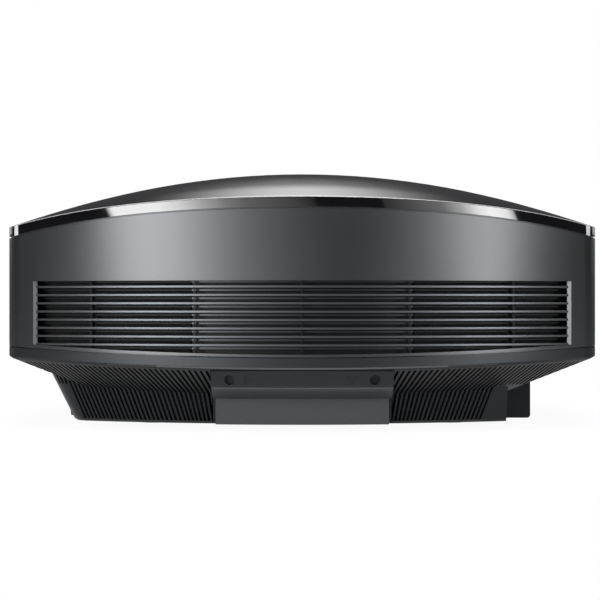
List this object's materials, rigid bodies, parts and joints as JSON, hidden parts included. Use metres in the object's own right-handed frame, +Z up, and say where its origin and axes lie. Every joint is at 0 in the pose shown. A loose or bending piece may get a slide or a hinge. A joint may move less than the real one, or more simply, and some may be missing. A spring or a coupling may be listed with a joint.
{
  "type": "home projector",
  "caption": "Home projector with a domed black top, louvred back, ribbed lower case, shifting lens with zoom and focus rings, fans, lamp cover and screw feet.",
  "frame": {"origin": "middle of the bounding box on the table, under the feet", "axes": "+Z up, -Y the way the lens points, +Y towards the louvred back, -X the side with the keys and connectors"},
  "size_m": [0.4074, 0.4638, 0.1792],
  "materials": {
    "dark_shell": "dark grey moulded plastic, fine satin",
    "gunmetal_shell": "gunmetal metallic paint, satin",
    "gloss_black": "polished black",
    "satin_black_top": "black, slightly soft gloss",
    "grey_slats": "satin grey",
    "filter_foam": "open dark mesh",
    "smoked_window": "dark red smoked window",
    "black_plastic": "fine matte",
    "black_anodised": "black anodised",
    "lens_glass": "coated optical glass",
    "bright_steel": "plated",
    "dark_steel": "blackened",
    "zinc_sheet": "zinc plated sheet",
    "cast_alloy": "as cast",
    "imager_black": "matte",
    "lamp_box": "heat-resistant, matte",
    "reflector_glass": "coated glass",
    "circuit_green": "solder-masked board",
    "key_grey": "satin",
    "foot_rubber": "matte",
    "insert_brass": "machined"
  },
  "bodies": {
    "chassis": {"ac_inlet": "black_plastic", "base_plate": "zinc_sheet", "component_jacks": "bright_steel", "connector_panel": "bright_steel", "control_plate": "black_plastic", "dial_brackets": "black_plastic", "fan_left_frame": "black_plastic", "fan_right_frame": "black_plastic", "front_panel": "gunmetal_shell", "front_vents": "grey_slats", "hdmi_sockets": "bright_steel", "imager_modules": "imager_black", "inner_louvre": "grey_slats", "intake_filters": "filter_foam", "lamp_ballast": "cast_alloy", "lamp_housing": "lamp_box", "lamp_reflector": "reflector_glass", "lan_socket": "black_plastic", "lens_bezel": "black_plastic", "lower_case": "dark_shell", "main_board": "circuit_green", "optical_engine": "cast_alloy", "plate_screws": "bright_steel", "power_supply": "circuit_green", "prism_block": "lens_glass", "rear_feet": "foot_rubber", "rear_grille": "grey_slats", "rear_panel": "gunmetal_shell", "rim_band": "gloss_black", "sensor_window": "smoked_window", "shift_bulkhead": "black_anodised", "threaded_inserts": "insert_brass", "top_cover": "satin_black_top", "upright_rods": "bright_steel"},
    "rise": {"rise_carriage": "black_anodised", "level_rods": "bright_steel"},
    "cross": {"cross_carriage": "black_anodised", "lens_barrel": "black_anodised", "front_element": "lens_glass", "rear_element": "lens_glass"},
    "zoom": {"zoom_ring": "black_plastic"},
    "focus": {"focus_ring": "black_plastic"},
    "rise_dial": {"rise_dial": "black_plastic"},
    "cross_dial": {"cross_dial": "black_plastic"},
    "fan_left": {"fan_left_rotor": "black_plastic"},
    "fan_right": {"fan_right_rotor": "black_plastic"},
    "lamp_door": {"lamp_cover": "dark_shell", "lamp_cover_screws": "dark_steel"},
    "foot_left": {"front_foot_left_pad": "foot_rubber"},
    "foot_left_wheel": {"front_foot_left_screw": "black_plastic"},
    "foot_right": {"front_foot_right_pad": "foot_rubber"},
    "foot_right_wheel": {"front_foot_right_screw": "black_plastic"},
    "key_down": {"key_down": "key_grey"},
    "key_enter": {"key_enter": "key_grey"},
    "key_input": {"key_input": "key_grey"},
    "key_left": {"key_left": "key_grey"},
    "key_menu": {"key_menu": "key_grey"},
    "key_power": {"key_power": "key_grey"},
    "key_right": {"key_right": "key_grey"},
    "key_up": {"key_up": "key_grey"}
  },
  "joints": [
    {"name": "lens_rise", "type": "slide", "parent": "chassis", "child": "rise", "axis": [0, 0, 1], "range_m": [-0.005, 0.005]},
    {"name": "lens_cross", "type": "slide", "parent": "rise", "child": "cross", "axis": [1, 0, 0], "range_m": [-0.0035, 0.0035]},
    {"name": "zoom_turn", "type": "hinge", "parent": "cross", "child": "zoom", "pos_m": [0, -0.139, 0.097], "axis": [0, -1, 0], "range_deg": [-30, 30]},
    {"name": "focus_turn", "type": "hinge", "parent": "cross", "child": "focus", "pos_m": [0, -0.189, 0.097], "axis": [0, -1, 0], "range_deg": [-60, 60]},
    {"name": "rise_dial_turn", "type": "hinge", "parent": "chassis", "child": "rise_dial", "pos_m": [-0.032, -0.118, 0.15683], "axis": [1, 0, 0], "range_deg": [-185, 185]},
    {"name": "cross_dial_turn", "type": "hinge", "parent": "chassis", "child": "cross_dial", "pos_m": [0.032, -0.118, 0.15683], "axis": [0, 1, 0], "range_deg": [-185, 185]},
    {"name": "fan_left_spin", "type": "hinge", "parent": "chassis", "child": "fan_left", "pos_m": [0.125, -0.1275, 0.086], "axis": [0, 1, 0], "continuous": true},
    {"name": "fan_right_spin", "type": "hinge", "parent": "chassis", "child": "fan_right", "pos_m": [-0.125, -0.1275, 0.086], "axis": [0, 1, 0], "continuous": true},
    {"name": "lamp_door_pull", "type": "slide", "parent": "chassis", "child": "lamp_door", "axis": [0, 1, 0], "range_m": [0, 0.06]},
    {"name": "foot_left_extend", "type": "slide", "parent": "chassis", "child": "foot_left", "axis": [0, 0, -1], "range_m": [0, 0.01]},
    {"name": "foot_left_turn", "type": "hinge", "parent": "foot_left", "child": "foot_left_wheel", "pos_m": [0.105, -0.12, 0.005], "axis": [0, 0, 1], "range_deg": [-10, 1210]},
    {"name": "foot_right_extend", "type": "slide", "parent": "chassis", "child": "foot_right", "axis": [0, 0, -1], "range_m": [0, 0.01]},
    {"name": "foot_right_turn", "type": "hinge", "parent": "foot_right", "child": "foot_right_wheel", "pos_m": [-0.105, -0.12, 0.005], "axis": [0, 0, 1], "range_deg": [-10, 1210]},
    {"name": "key_down_press", "type": "slide", "parent": "chassis", "child": "key_down", "axis": [1, 0, 0], "range_m": [0, 0.0006], "stiffness_N_per_m": 600, "springref_m": -0.0005},
    {"name": "key_enter_press", "type": "slide", "parent": "chassis", "child": "key_enter", "axis": [1, 0, 0], "range_m": [0, 0.0006], "stiffness_N_per_m": 600, "springref_m": -0.0005},
    {"name": "key_input_press", "type": "slide", "parent": "chassis", "child": "key_input", "axis": [1, 0, 0], "range_m": [0, 0.0006], "stiffness_N_per_m": 600, "springref_m": -0.0005},
    {"name": "key_left_press", "type": "slide", "parent": "chassis", "child": "key_left", "axis": [1, 0, 0], "range_m": [0, 0.0006], "stiffness_N_per_m": 600, "springref_m": -0.0005},
    {"name": "key_menu_press", "type": "slide", "parent": "chassis", "child": "key_menu", "axis": [1, 0, 0], "range_m": [0, 0.0006], "stiffness_N_per_m": 600, "springref_m": -0.0005},
    {"name": "key_power_press", "type": "slide", "parent": "chassis", "child": "key_power", "axis": [1, 0, 0], "range_m": [0, 0.0006], "stiffness_N_per_m": 600, "springref_m": -0.0005},
    {"name": "key_right_press", "type": "slide", "parent": "chassis", "child": "key_right", "axis": [1, 0, 0], "range_m": [0, 0.0006], "stiffness_N_per_m": 600, "springref_m": -0.0005},
    {"name": "key_up_press", "type": "slide", "parent": "chassis", "child": "key_up", "axis": [1, 0, 0], "range_m": [0, 0.0006], "stiffness_N_per_m": 600, "springref_m": -0.0005}
  ],
  "couplings": [
    {"joint": "rise_dial_turn", "follows": "lens_rise", "rad_per_m": 628.32},
    {"joint": "cross_dial_turn", "follows": "lens_cross", "rad_per_m": 897.6},
    {"joint": "foot_left_turn", "follows": "foot_left_extend", "rad_per_m": 2094.4},
    {"joint": "foot_right_turn", "follows": "foot_right_extend", "rad_per_m": 2094.4}
  ]
}
